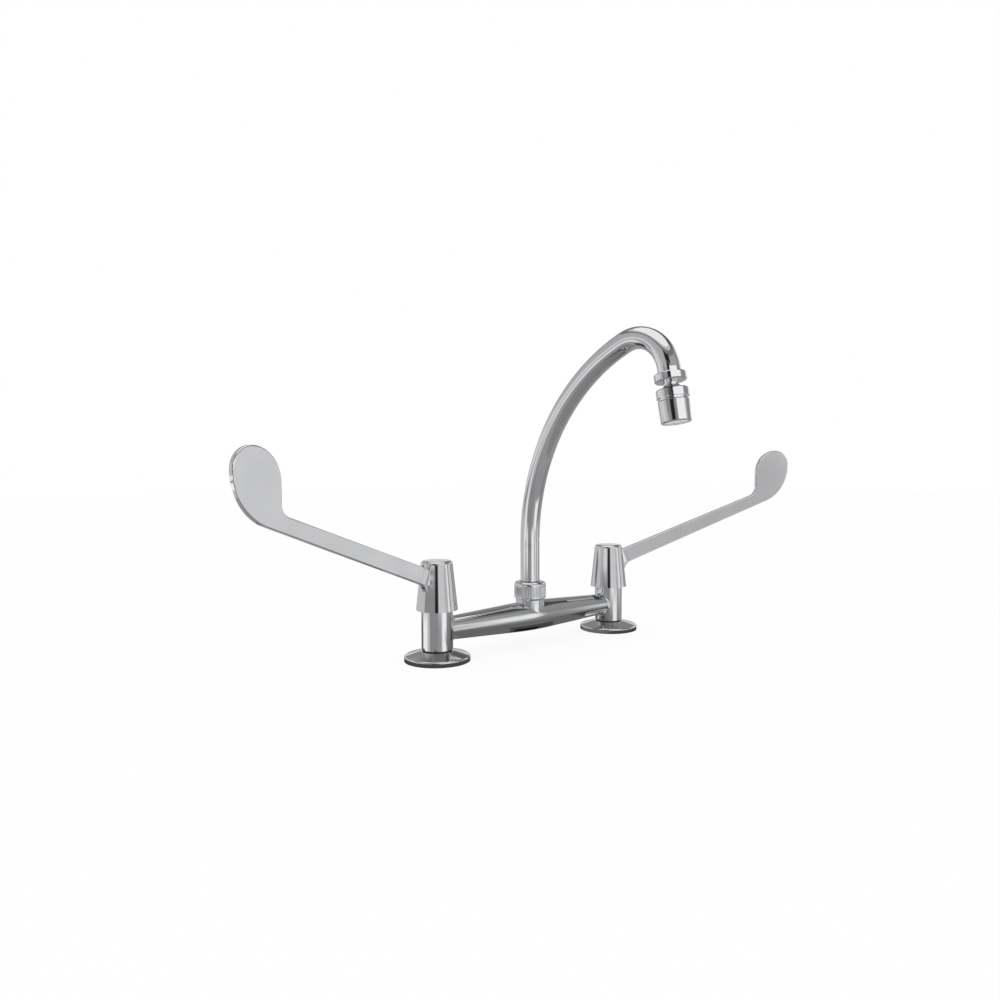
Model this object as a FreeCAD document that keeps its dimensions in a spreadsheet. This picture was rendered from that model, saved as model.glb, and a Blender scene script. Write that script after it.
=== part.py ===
import FreeCAD, Part
import math
import os
from types import SimpleNamespace

import Sketcher

# Two-handle deck mixer with long elbow levers, an arched swivel spout and a ball-jointed aerator.
# Frame: +X along the bridge to the right-hand post, -Y towards the user and along the spout, +Z up.
# The origin lies midway between the posts, on the deck. All lengths are millimetres.

Vec = FreeCAD.Vector
os.makedirs("parts", exist_ok=True)
doc = FreeCAD.newDocument("elbow_lever_mixer")
sheet = doc.addObject("Spreadsheet::Sheet", "Sizes")

# Driving dimensions
SIZES = [
    ("post_pitch", 200.0, "between the axes of the two posts"),
    ("run_gap", 0.05, "radial or end clearance of a running fit"),
    ("screw_gap", 0.03, "radial clearance between mating threads and of brazed or glued joints"),
    ("free_gap", 0.4, "clearance where a moving piece passes a fixed one"),
    ("flange_r", 27.2, "deck flange, outer radius"),
    ("flange_rim", 3.2, "deck flange, height of the upright rim"),
    ("flange_plate", 4.6, "deck flange, height where its cone starts, inside the rounded rim"),
    ("flange_height", 8.3, "deck flange, height where its cone ends, under the post"),
    ("flange_ledge", 1.2, "deck flange, how far its cone's top stands out past the post"),
    ("gasket_thick", 2.0, "deck gasket in the flange's recess"),
    ("flange_lip", 3.7, "deck flange, wall outside the gasket's recess"),
    ("seal_thick", 0.6, "black seal between flange and post"),
    ("seal_inset", 0.6, "how far that seal stays inside the post's skin"),
    ("post_wall", 2.8, "post, wall round the headwork's thread"),
    ("post_height", 37.1, "post, from the seal to its top face"),
    ("post_edge", 0.8, "post, bevel round the foot"),
    ("shank_r", 10.48, "tail shank, half inch pipe thread, outer radius"),
    ("hose_r", 8.33, "hose end of the shank, three-eighths pipe thread, outer radius"),
    ("hose_wall", 2.33, "hose end, wall round the waterway"),
    ("hose_len", 12.0, "hose end, length"),
    ("shank_grip", 8.0, "how far the shank screws into the post"),
    ("shank_free", 8.0, "shank left free below the locknut"),
    ("deck_thick", 30.0, "worktop that the locknuts clamp"),
    ("pad_thick", 2.5, "rubber washer under the worktop"),
    ("washer_thick", 1.5, "steel washer under the rubber one"),
    ("washer_r", 20.0, "both washers, outer radius"),
    ("locknut_thick", 8.0, "locknut thickness"),
    ("locknut_flats", 30.0, "locknut across flats"),
    ("seat_wall", 3.0, "valve seat web above the shank"),
    ("seat_bore_r", 5.0, "valve seat, waterway radius"),
    ("seat_seal_thick", 1.0, "rubber ring under the headwork"),
    ("chamber_gap", 0.6, "water space round the headwork's nose"),
    ("thread_step", 0.8, "how far the headwork's thread stands out past the chamber"),
    ("head_thread_len", 9.0, "headwork thread length"),
    ("nose_wall", 1.75, "headwork nose, wall round the discs"),
    ("disc_r", 7.0, "ceramic disc radius"),
    ("disc_thick", 2.5, "ceramic disc thickness"),
    ("disc_port_r", 5.2, "outer radius of the water ports in the discs"),
    ("disc_port_in", 2.2, "inner radius of the water ports in the discs"),
    ("disc_port_deg", 70.0, "angle that each water port spans"),
    ("tang_thick", 3.0, "spindle tang that turns the upper disc"),
    ("tang_width", 7.0, "spindle tang width"),
    ("window_width", 8.0, "headwork side window"),
    ("hex_ledge", 0.8, "headwork hexagon, how far its flats stand out past the thread"),
    ("hex_height", 5.0, "headwork hexagon height"),
    ("gland_wall", 2.95, "headwork gland, wall round the spindle"),
    ("gland_len", 7.0, "headwork gland length"),
    ("stem_r", 4.5, "spindle radius in the gland"),
    ("spline_step", 0.5, "spindle, how much thinner its head is under the handle"),
    ("hub_skirt", 4.0, "how far the handle's skirt comes down over the post"),
    ("hub_height", 40.4, "handle hub height"),
    ("skirt_gap", 1.5, "room between the headwork's hexagon and the handle's skirt"),
    ("cap_rim", 2.3, "flat ring of the hub round its cap"),
    ("hub_round", 2.8, "rounding of the hub's top edge"),
    ("hub_wall", 3.0, "handle skirt wall"),
    ("hub_clear", 2.0, "height kept free above the headwork inside the hub"),
    ("cap_r", 8.0, "cap that closes the hub"),
    ("cap_thick", 3.2, "cap thickness"),
    ("web_thick", 3.0, "web that the handle screw clamps"),
    ("screw_r", 2.0, "handle screw radius"),
    ("screw_head_r", 3.8, "handle screw head radius"),
    ("screw_head_len", 3.0, "handle screw head height"),
    ("screw_len", 12.0, "handle screw length under its head"),
    ("blade_thick", 4.0, "lever plate thickness"),
    ("blade_round", 0.9, "rounding of the lever plate's edges"),
    ("blade_drop", 10.0, "blade's upper line below the hub's top, at the hub's axis"),
    ("blade_root", 15.3, "blade height at the hub's axis"),
    ("blade_top_deg", 18.85, "climb of the blade's upper line"),
    ("blade_low_deg", 19.83, "climb of the blade's lower line"),
    ("root_start", 24.0, "where the blade's underside starts to flare into the hub"),
    ("root_round", 12.0, "radius of that flare"),
    ("root_deg", 20.0, "slope of the underside from the flare into the hub, from the level"),
    ("cheek_r", 24.0, "hollow on each side of the root, where the plate thickens into the hub"),
    ("cheek_deg", 19.5, "sweep of that hollow"),
    ("cheek_start", 24.0, "where the thickening starts, along the blade"),
    ("cheek_inset", 1.1, "how far the thickening stays inside the blade's upper and lower edge"),
    ("paddle_reach", 205.5, "from the hub's axis to the paddle's outer edge"),
    ("paddle_width", 38.5, "paddle, from its inner to its outer edge"),
    ("paddle_heel", 25.5, "from the start of the paddle's rounded heel to its outer edge"),
    ("paddle_tip_r", 15.1, "radius of the paddle's outer shoulder"),
    ("paddle_nook", 9.0, "fillet in the nook between blade and paddle"),
    ("lever_swing", 20.2, "how far both levers are swung to the front"),
    ("bridge_rise", 16.1, "bridge axis above the foot of the posts"),
    ("bridge_end_r", 9.2, "bridge radius at the posts"),
    ("bridge_peak_r", 13.7, "radius where the bridge's two cones would meet"),
    ("bridge_crown", 18.0, "half length of the rounded middle of the bridge"),
    ("bridge_bore_r", 4.5, "bridge waterway radius"),
    ("bridge_fillet", 2.0, "fillet between bridge and posts"),
    ("boss_ledge", 0.6, "how far the boss stands out past the threaded neck"),
    ("boss_rise", 1.3, "boss top above the crown of the bridge"),
    ("neck_wall", 2.0, "threaded neck, wall round the spout's socket"),
    ("neck_len", 11.0, "threaded neck, length inside the spout nut"),
    ("tail_wall", 1.5, "spout tail, wall round the tube, with its running gap"),
    ("neck_port_r", 4.2, "waterway from the bridge into the socket"),
    ("nut_wall", 2.07, "spout nut, wall round the neck's thread"),
    ("nut_lip", 3.0, "spout nut, thickness of the lip over the spout's collar"),
    ("nut_round", 3.0, "spout nut, rounding of its shoulder"),
    ("nut_bevel", 1.6, "spout nut, bevel at its foot"),
    ("nut_step", 0.7, "spout nut, sunk ring round the tube"),
    ("nut_step_wall", 1.3, "spout nut, width of that ring"),
    ("ring_high", 3.2, "tail's upper O-ring below the foot of the tube"),
    ("tail_floor", 0.6, "room left under the spout tail"),
    ("collar_thick", 1.0, "spout tail, collar that the nut holds"),
    ("collar_inset", 0.6, "how far the spout's collar stays inside the neck's thread"),
    ("slip_thick", 1.0, "plastic slip ring on that collar"),
    ("ring_wire_r", 0.9, "O-ring, section radius"),
    ("ring_low", 2.4, "lower O-ring's centre above the tail's foot"),
    ("ring_step", 3.4, "between the two O-rings"),
    ("tube_r", 8.5, "spout tube, outer radius"),
    ("tube_wall", 1.5, "spout tube, wall"),
    ("tube_grip", 11.0, "length of tube held in the tail"),
    ("riser_len", 39.5, "straight riser above the neck's top"),
    ("arch_r", 174.5, "spout's long arc, radius"),
    ("arch_deg", 68.5, "spout's long arc, sweep"),
    ("arch_run", 3.4, "straight run before the tight bend"),
    ("bend_r", 32.6, "spout's tight bend, radius"),
    ("end_lean", 11.0, "spout end, lean from the vertical"),
    ("end_run", 3.5, "straight end of the tube"),
    ("ferrule_grip", 4.2, "outlet ferrule, length inside the tube"),
    ("ferrule_wall", 1.57, "outlet ferrule, wall inside the tube"),
    ("ferrule_ledge", 1.7, "outlet ferrule, how far its thread stands out past the tube"),
    ("ferrule_len", 2.6, "outlet ferrule, thread length"),
    ("joint_washer", 0.6, "rubber washer under the ferrule"),
    ("stem_flange", 1.3, "ball stem, thickness of its flange"),
    ("stem_flange_inset", 0.6, "ball stem, how far its flange stays inside the ferrule's thread"),
    ("collar_nut_wall", 1.62, "collar nut, wall round its thread"),
    ("collar_nut_lip", 1.7, "collar nut, lip under the ball stem's flange"),
    ("collar_nut_bevel", 0.8, "collar nut, bevels"),
    ("ball_r", 8.6, "ball radius"),
    ("ball_drop", 9.4, "ball centre below the collar nut"),
    ("ball_neck_r", 5.6, "neck between collar nut and ball"),
    ("ball_bore_r", 3.4, "waterway through the ball"),
    ("aerator_lean", 10.0, "aerator, lean from the vertical"),
    ("groove_ledge", 1.1, "socket ring, wall between its thread and the groove"),
    ("socket_rise", 3.8, "socket ring's top above the ball's centre"),
    ("socket_drop", 2.7, "socket ring's foot below the ball's centre"),
    ("groove_gap", 1.8, "groove between socket ring and housing"),
    ("groove_depth", 1.0, "depth of that groove"),
    ("housing_inset", 0.3, "how far the aerator housing stays inside the socket ring's skin"),
    ("housing_taper", 0.5, "aerator housing, how much slimmer it is at the mouth"),
    ("housing_len", 16.8, "aerator housing below the groove"),
    ("housing_bevel", 0.8, "aerator housing, bevel at the mouth"),
    ("housing_wall", 2.0, "aerator housing wall"),
    ("spigot_wall", 1.25, "wall of the spigot by which ring and housing join"),
    ("spigot_len", 4.6, "length of that thread"),
    ("seat_ring_drop", 4.3, "top of the seat ring under the ball's centre"),
    ("seat_ring_thick", 2.2, "height of the hollow face on which the ball sits"),
    ("insert_len", 7.0, "aerator insert height"),
    ("insert_recess", 1.2, "insert's face above the mouth"),
    ("insert_hole_r", 0.9, "insert, jet hole radius"),
    ("insert_ring_r", 5.6, "insert, radius of the outer ring of jets"),
]
VALUES = {}
for row, (alias, value, note) in enumerate(SIZES, start=1):
    sheet.set("A%d" % row, alias)
    sheet.set("B%d" % row, "%.9g" % value)
    sheet.setAlias("B%d" % row, alias)
    sheet.set("C%d" % row, note)
    VALUES[alias] = value
doc.recompute()


class Size:
    """A number together with the sheet formula that it comes from."""

    def __init__(self, value, text):
        self.value = float(value)
        self.text = text

    def __add__(self, other):
        other = lift(other)
        return Size(self.value + other.value, "(%s + %s)" % (self.text, other.text))

    def __sub__(self, other):
        other = lift(other)
        return Size(self.value - other.value, "(%s - %s)" % (self.text, other.text))

    def __mul__(self, other):
        other = lift(other)
        return Size(self.value * other.value, "(%s * %s)" % (self.text, other.text))

    def __truediv__(self, other):
        other = lift(other)
        return Size(self.value / other.value, "(%s / %s)" % (self.text, other.text))

    def __rsub__(self, other):
        return lift(other) - self

    def __neg__(self):
        return Size(-self.value, "(0 - %s)" % self.text)

    __radd__ = __add__
    __rmul__ = __mul__


def lift(number):
    """A plain number as a Size."""
    return number if isinstance(number, Size) else Size(number, "%.9g" % number)


def sind(angle):
    return Size(math.sin(math.radians(angle.value)), "sin(%s * 1 deg)" % angle.text)


def cosd(angle):
    return Size(math.cos(math.radians(angle.value)), "cos(%s * 1 deg)" % angle.text)


def tand(angle):
    return Size(math.tan(math.radians(angle.value)), "tan(%s * 1 deg)" % angle.text)


def root(square):
    return Size(math.sqrt(square.value), "sqrt(%s)" % square.text)


d = SimpleNamespace(**{alias: Size(VALUES[alias], "Sizes." + alias) for alias in VALUES})
ZERO = lift(0)

# A hexagon's corner radius as a share of its width across flats
HEX_REACH = 1 / math.sqrt(3)

# Jets in the outer ring of the aerator insert
JETS = 6

# Radii that follow from the walls and gaps round them
nose_bore_r = d.disc_r + d.run_gap
nose_r = nose_bore_r + d.nose_wall
chamber_r = nose_r + d.chamber_gap
head_thread_r = chamber_r + d.thread_step
post_r = head_thread_r + d.post_wall
hex_flats = (head_thread_r + d.hex_ledge) * 2
gland_r = d.stem_r + d.run_gap + d.gland_wall
spline_r = d.stem_r - d.spline_step
skirt_r = hex_flats * HEX_REACH + d.skirt_gap
hub_foot_r = skirt_r + d.hub_wall
hub_top_r = d.cap_r + d.cap_rim + d.hub_round
flange_top_r = post_r + d.flange_ledge
gasket_r = d.flange_r - d.flange_lip
shank_bore_r = d.hose_r - d.hose_wall
tube_in_r = d.tube_r - d.tube_wall
neck_bore_r = d.tube_r + d.tail_wall
neck_r = neck_bore_r + d.neck_wall
boss_r = neck_r + d.boss_ledge
nut_r = neck_r + d.screw_gap + d.nut_wall
collar_r = neck_r - d.collar_inset
ferrule_bore_r = tube_in_r - d.screw_gap - d.ferrule_wall
ferrule_r = d.tube_r + d.ferrule_ledge
stem_flange_r = ferrule_r - d.stem_flange_inset
collar_nut_r = ferrule_r + d.screw_gap + d.collar_nut_wall
cup_r = d.ball_r + d.run_gap
spigot_r = cup_r + d.spigot_wall
socket_r = spigot_r + d.groove_ledge + d.groove_depth
housing_r = socket_r - d.housing_inset
mouth_r = housing_r - d.housing_taper

# Levels, from the deck upwards
half_pitch = d.post_pitch / 2
post_foot = d.flange_height + d.seal_thick
post_top = post_foot + d.post_height
shank_top = post_foot + d.shank_grip
seat_top = shank_top + d.seat_wall
nose_foot = seat_top + d.seat_seal_thick
nose_top = post_top - d.head_thread_len
disc_mid = nose_foot + d.disc_thick
disc_top = disc_mid + d.disc_thick
tang_top = disc_top + d.tang_thick
cavity_top = tang_top + d.run_gap
hex_top = post_top + d.hex_height
gland_top = hex_top + d.gland_len
hub_foot = post_top - d.hub_skirt
hub_top = hub_foot + d.hub_height
cap_foot = hub_top - d.cap_thick
web_top = cap_foot - d.screw_head_len
spindle_top = web_top - d.web_thick
bridge_z = post_foot + d.bridge_rise
boss_top = bridge_z + d.bridge_peak_r + d.boss_rise
neck_top = boss_top + d.neck_len
collar_foot = neck_top + d.run_gap
collar_top = collar_foot + d.collar_thick
slip_top = collar_top + d.slip_thick
lip_foot = slip_top + d.run_gap
nut_top = lip_foot + d.nut_lip
nut_foot = boss_top
tube_foot = neck_top - d.tube_grip
high_ring = tube_foot - d.ring_high
low_ring = high_ring - d.ring_step
tail_foot = low_ring - d.ring_low
socket_floor = tail_foot - d.tail_floor
riser_top = neck_top + d.riser_len
deck_low = -d.deck_thick
pad_low = deck_low - d.pad_thick
washer_low = pad_low - d.washer_thick
locknut_low = washer_low - d.locknut_thick
shank_low = locknut_low - d.shank_free
hose_low = shank_low - d.hose_len

# Spout path in the upright plane, as (towards the user, up)
arch_y = d.arch_r * (1 - cosd(d.arch_deg))
arch_z = riser_top + d.arch_r * sind(d.arch_deg)
run_y = arch_y + d.arch_run * sind(d.arch_deg)
run_z = arch_z + d.arch_run * cosd(d.arch_deg)
bend_cy = run_y + d.bend_r * cosd(d.arch_deg)
bend_cz = run_z - d.bend_r * sind(d.arch_deg)
end_y = bend_cy + d.bend_r * cosd(d.end_lean)
end_z = bend_cz + d.bend_r * sind(d.end_lean)
mouth_y = end_y + d.end_run * sind(d.end_lean)
mouth_z = end_z - d.end_run * cosd(d.end_lean)

# Outlet stack along the spout's end axis, measured down from the tube's mouth
ferrule_low = -d.ferrule_len
joint_low = ferrule_low - d.joint_washer
flange_low = joint_low - d.stem_flange
collar_nut_low = flange_low - d.collar_nut_lip
ball_z = collar_nut_low - d.ball_drop
ball_y_world = mouth_y - ball_z * sind(d.end_lean)
ball_z_world = mouth_z + ball_z * cosd(d.end_lean)

built = []


def origin_plane(body, role):
    for feature in body.Origin.OriginFeatures:
        if feature.Role == role:
            return feature
    raise ValueError(role)


def new_body(label):
    body = doc.addObject("PartDesign::Body", label)
    body.Label = label
    built.append(body)
    return body


def new_sketch(body, name, role="XZ_Plane", height=None):
    sketch = body.newObject("Sketcher::SketchObject", name)
    sketch.AttachmentSupport = [(origin_plane(body, role), "")]
    sketch.MapMode = "FlatFace"
    if height is not None:
        sketch.AttachmentOffset = FreeCAD.Placement(Vec(0, 0, height.value), FreeCAD.Rotation())
        sketch.setExpression("AttachmentOffset.Base.z", height.text)
    return sketch


def constrain(sketch, items):
    """Add constraints and bind those that carry a Size."""
    for args, size in items:
        if size is None:
            sketch.addConstraint(Sketcher.Constraint(*args))
        else:
            index = sketch.addConstraint(Sketcher.Constraint(*args, size.value))
            sketch.setExpression("Constraints[%d]" % index, size.text)


def pin(geo, pos, x, y):
    """Constraints that put a sketch point at (x, y)."""
    items = []
    for kind, size, axis in (("DistanceX", lift(x), -2), ("DistanceY", lift(y), -1)):
        if size.text == "0":
            items.append((("PointOnObject", geo, pos, axis), None))
        else:
            items.append(((kind, -1, 1, geo, pos), size))
    return items


def chain(sketch, corners, closed=True):
    """Lines and arcs through corners (x, y) or (x, y, radius, side).

    The edge that leaves a corner with a radius is an arc of that radius, with its centre to the left (+1)
    or right (-1) of the way.
    """
    count = len(corners)
    last = count if closed else count - 1
    first_geo = sketch.GeometryCount
    edges = []
    ends = []
    for i in range(last):
        a, b = corners[i], corners[(i + 1) % count]
        p = Vec(lift(a[0]).value, lift(a[1]).value, 0)
        q = Vec(lift(b[0]).value, lift(b[1]).value, 0)
        if len(a) == 2:
            edges.append(Part.LineSegment(p, q))
            ends.append((1, 2))
        else:
            radius = lift(a[2]).value
            chord = q - p
            left = Vec(-chord.y, chord.x, 0).normalize()
            depth = math.sqrt(max(radius * radius - chord.Length ** 2 / 4, 0.0))
            centre = (p + q) * 0.5 + left * (depth * a[3])
            start, stop = (p, q) if a[3] > 0 else (q, p)
            a0 = math.atan2(start.y - centre.y, start.x - centre.x)
            a1 = math.atan2(stop.y - centre.y, stop.x - centre.x)
            edges.append(Part.ArcOfCircle(Part.Circle(centre, Vec(0, 0, 1), radius), a0, a1))
            ends.append((1, 2) if a[3] > 0 else (2, 1))
    sketch.addGeometry(edges, False)
    items = []
    for i in range(last):
        nxt = (i + 1) % last
        if closed or i < last - 1:
            items.append((("Coincident", first_geo + i, ends[i][1], first_geo + nxt, ends[nxt][0]), None))
    for i in range(last):
        items += pin(first_geo + i, ends[i][0], corners[i][0], corners[i][1])
    if not closed:
        items += pin(first_geo + last - 1, ends[last - 1][1], corners[last][0], corners[last][1])
    for i in range(last):
        if len(corners[i]) > 2:
            items.append((("Radius", first_geo + i), lift(corners[i][2])))
    constrain(sketch, items)


def ring(sketch, x, y, radius):
    """A circle with bound centre and radius."""
    x, y, radius = lift(x), lift(y), lift(radius)
    geo = sketch.addGeometry(Part.Circle(Vec(x.value, y.value, 0), Vec(0, 0, 1), radius.value), False)
    constrain(sketch, pin(geo, 3, x, y) + [(("Radius", geo), radius)])


def revolve(body, sketch, kind="Revolution", axis="V_Axis"):
    feature = body.newObject("PartDesign::" + kind, kind)
    feature.Profile = sketch
    feature.ReferenceAxis = (sketch, [axis])
    feature.Angle = 360.0
    sketch.Visibility = False
    return feature


def extrude(body, sketch, length, kind="Pad", middle=False, flip=False):
    feature = body.newObject("PartDesign::" + kind, kind)
    feature.Profile = sketch
    feature.Length = length.value
    feature.setExpression("Length", length.text)
    if middle:
        feature.Midplane = True
    feature.Reversed = flip
    return feature


def cut_through(body, sketch):
    feature = body.newObject("PartDesign::Pocket", "Pocket")
    feature.Profile = sketch
    feature.Type = 1
    feature.Midplane = True
    return feature


def round_edges(body, base, names, radius, kind="Fillet"):
    feature = body.newObject("PartDesign::" + kind, kind)
    feature.Base = (base, names)
    key = "Radius" if kind == "Fillet" else "Size"
    setattr(feature, key, radius.value)
    feature.setExpression(key, radius.text)
    return feature


def turned(label, corners, holes=()):
    """A body turned from one profile of (radius, height) corners, with further profiles cut out of it."""
    body = new_body(label)
    sketch = new_sketch(body, label + "_profile")
    chain(sketch, corners)
    revolve(body, sketch)
    for number, hole in enumerate(holes):
        inner = new_sketch(body, "%s_cut%d" % (label, number))
        chain(inner, hole)
        revolve(body, inner, "Groove")
    return body


def set_place(body, x=None, y=None, z=None, axis=None, angle=None):
    """Place a body, with its position and angle bound to the sheet."""
    base = Vec(*[0.0 if size is None else size.value for size in (x, y, z)])
    turn = FreeCAD.Rotation() if axis is None else FreeCAD.Rotation(Vec(*axis), angle.value)
    body.Placement = FreeCAD.Placement(base, turn)
    for letter, size in (("x", x), ("y", y), ("z", z)):
        if size is not None:
            body.setExpression("Placement.Base." + letter, size.text)
    if axis is not None:
        body.setExpression("Placement.Rotation.Angle", "%s * 1 deg" % angle.text)


def hexagon(flats, x=ZERO):
    """Corners of a hexagon with two flats square to Y."""
    reach = flats * HEX_REACH
    side = reach / 2
    half = flats / 2
    return [
        (x + reach, ZERO), (x + side, half), (x - side, half),
        (x - reach, ZERO), (x - side, -half), (x + side, -half),
    ]


# Bridge body: two posts, the double-tapered bridge and the spout's neck in one casting
body = new_body("bridge_body")
slope = (d.bridge_peak_r - d.bridge_end_r) / half_pitch
crown_r = d.bridge_peak_r - slope * d.bridge_crown
crown_arc = d.bridge_crown * root(1 + slope * slope) / slope
spindle = new_sketch(body, "bridge_profile", "XY_Plane", bridge_z)
chain(spindle, [
    (-half_pitch, ZERO),
    (half_pitch, ZERO),
    (half_pitch, d.bridge_end_r),
    (d.bridge_crown, crown_r, crown_arc, 1),
    (-d.bridge_crown, crown_r),
    (-half_pitch, d.bridge_end_r),
])
revolve(body, spindle, axis="H_Axis")
posts = new_sketch(body, "post_plan", "XY_Plane", post_foot)
ring(posts, half_pitch, ZERO, post_r)
ring(posts, -half_pitch, ZERO, post_r)
extrude(body, posts, d.post_height)
boss = new_sketch(body, "boss_plan", "XY_Plane", bridge_z)
ring(boss, ZERO, ZERO, boss_r)
extrude(body, boss, boss_top - bridge_z)
neck = new_sketch(body, "neck_plan", "XY_Plane", boss_top)
ring(neck, ZERO, ZERO, neck_r)
neck_pad = extrude(body, neck, neck_top - boss_top)
doc.recompute()
joins = []
for number, edge in enumerate(neck_pad.Shape.Edges, start=1):
    box = edge.BoundBox
    middle_x = abs(abs(box.Center.x) - half_pitch.value)
    girth = min(box.YLength, box.ZLength)
    if middle_x < post_r.value and girth > d.bridge_end_r.value:
        joins.append("Edge%d" % number)
blend = round_edges(body, neck_pad, joins, d.bridge_fillet)
doc.recompute()
feet = []
for number, edge in enumerate(blend.Shape.Edges, start=1):
    box = edge.BoundBox
    if abs(box.Center.z - post_foot.value) < 1e-4 and box.ZLength < 1e-4:
        feet.append("Edge%d" % number)
round_edges(body, blend, feet, d.post_edge, "Chamfer")
for side in (-1, 1):
    axis_x = half_pitch * side
    for name, radius, low, high in (
        ("shank_thread", d.shank_r + d.screw_gap, post_foot, shank_top),
        ("seat_hole", d.seat_bore_r, shank_top, seat_top),
        ("chamber", chamber_r, seat_top, nose_top),
        ("head_thread", head_thread_r + d.screw_gap, nose_top, post_top),
    ):
        plan = new_sketch(body, "%s_%s" % (name, "left" if side < 0 else "right"), "XY_Plane", low)
        ring(plan, axis_x, ZERO, radius)
        extrude(body, plan, high - low, "Pocket", flip=True)
bore = new_sketch(body, "bridge_bore", "XY_Plane", bridge_z)
chain(bore, [
    (-half_pitch, ZERO), (half_pitch, ZERO), (half_pitch, d.bridge_bore_r), (-half_pitch, d.bridge_bore_r),
])
revolve(body, bore, "Groove", "H_Axis")
for name, radius, low, high in (
    ("spout_socket", neck_bore_r, socket_floor, neck_top),
    ("neck_port", d.neck_port_r, bridge_z, socket_floor),
):
    plan = new_sketch(body, name, "XY_Plane", low)
    ring(plan, ZERO, ZERO, radius)
    extrude(body, plan, high - low, "Pocket", flip=True)

# Deck side of each post: flange, gasket, seal and tail shank
for side, word in ((-1, "left"), (1, "right")):
    axis_x = half_pitch * side
    hole_r = d.shank_r + d.free_gap
    flange = turned(word + "_flange", [
        (gasket_r + d.run_gap, ZERO),
        (d.flange_r, ZERO),
        (d.flange_r, d.flange_rim, d.flange_plate - d.flange_rim, 1),
        (d.flange_r - (d.flange_plate - d.flange_rim), d.flange_plate),
        (flange_top_r, d.flange_height),
        (hole_r, d.flange_height),
        (hole_r, d.gasket_thick),
        (gasket_r + d.run_gap, d.gasket_thick),
    ])
    gasket = turned(word + "_deck_gasket", [
        (hole_r, ZERO), (gasket_r, ZERO), (gasket_r, d.gasket_thick), (hole_r, d.gasket_thick),
    ])
    seal = turned(word + "_post_seal", [
        (hole_r, d.flange_height), (post_r - d.seal_inset, d.flange_height),
        (post_r - d.seal_inset, post_foot), (hole_r, post_foot),
    ])
    shank = turned(word + "_tail_shank", [
        (shank_bore_r, hose_low), (d.hose_r - d.post_edge, hose_low), (d.hose_r, hose_low + d.post_edge),
        (d.hose_r, shank_low), (d.shank_r - d.post_edge, shank_low), (d.shank_r, shank_low + d.post_edge),
        (d.shank_r, shank_top), (shank_bore_r, shank_top),
    ])
    for piece in (flange, gasket, seal, shank):
        set_place(piece, x=axis_x)

# Clamping set under the worktop, the same on both shanks
for label, low, high in (("rubber_washers", pad_low, deck_low), ("steel_washers", washer_low, pad_low)):
    body = new_body(label)
    plan = new_sketch(body, label + "_plan", "XY_Plane", low)
    for side in (-1, 1):
        ring(plan, half_pitch * side, ZERO, d.washer_r)
        ring(plan, half_pitch * side, ZERO, d.shank_r + d.free_gap)
    extrude(body, plan, high - low)
body = new_body("locknuts")
plan = new_sketch(body, "locknut_plan", "XY_Plane", locknut_low)
for side in (-1, 1):
    chain(plan, hexagon(d.locknut_flats, half_pitch * side))
    ring(plan, half_pitch * side, ZERO, d.shank_r + d.screw_gap)
extrude(body, plan, d.locknut_thick)


def ported_disc(label, low):
    """A ceramic disc with two opposed water ports."""
    disc = new_body(label)
    face = new_sketch(disc, label + "_plan", "XY_Plane", low)
    ring(face, ZERO, ZERO, d.disc_r)
    half = d.disc_port_deg / 2
    near, far = d.disc_port_in, d.disc_port_r
    for sign in (1, -1):
        chain(face, [
            (near * cosd(half) * sign, -(near * sind(half)) * sign),
            (far * cosd(half) * sign, -(far * sind(half)) * sign, far, 1),
            (far * cosd(half) * sign, far * sind(half) * sign),
            (near * cosd(half) * sign, near * sind(half) * sign, near, -1),
        ])
    extrude(disc, face, d.disc_thick)
    return disc


# Headworks: quarter-turn ceramic valves that screw into the posts
tang_r = d.disc_r
tang_reach = root(tang_r * tang_r - d.tang_width * d.tang_width / 4)
for side, word in ((-1, "left"), (1, "right")):
    axis_x = half_pitch * side
    seat = turned(word + "_seat_seal", [
        (d.seat_bore_r, seat_top), (nose_r, seat_top), (nose_r, nose_foot), (d.seat_bore_r, nose_foot),
    ])
    head = turned(word + "_headwork", [
        (nose_bore_r, nose_foot), (nose_r, nose_foot), (nose_r, nose_top), (head_thread_r, nose_top),
        (head_thread_r, post_top), (gland_r, post_top), (gland_r, gland_top),
        (d.stem_r + d.run_gap, gland_top), (d.stem_r + d.run_gap, cavity_top), (nose_bore_r, cavity_top),
    ])
    nut_plan = new_sketch(head, word + "_hex", "XY_Plane", post_top)
    chain(nut_plan, hexagon(hex_flats))
    ring(nut_plan, ZERO, ZERO, d.stem_r + d.run_gap)
    extrude(head, nut_plan, d.hex_height)
    window = new_sketch(head, word + "_window", "XZ_Plane")
    chain(window, [
        (-(d.window_width / 2), disc_top), (d.window_width / 2, disc_top),
        (d.window_width / 2, tang_top), (-(d.window_width / 2), tang_top),
    ])
    cut_through(head, window)
    fixed = ported_disc(word + "_fixed_disc", nose_foot)
    moving = ported_disc(word + "_moving_disc", disc_mid)
    stem = turned(word + "_spindle", [
        (ZERO, disc_top), (d.stem_r, disc_top), (d.stem_r, gland_top), (spline_r, gland_top),
        (spline_r, spindle_top), (d.screw_r + d.screw_gap, spindle_top),
        (d.screw_r + d.screw_gap, web_top - d.screw_len), (ZERO, web_top - d.screw_len),
    ])
    tang = new_sketch(stem, word + "_tang", "XY_Plane", disc_top)
    half = d.tang_width / 2
    chain(tang, [
        (-tang_reach, -half), (tang_reach, -half, tang_r, 1),
        (tang_reach, half), (-tang_reach, half, tang_r, 1),
    ])
    extrude(stem, tang, d.tang_thick)
    for piece in (seat, head, fixed, moving, stem):
        set_place(piece, x=axis_x)

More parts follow.
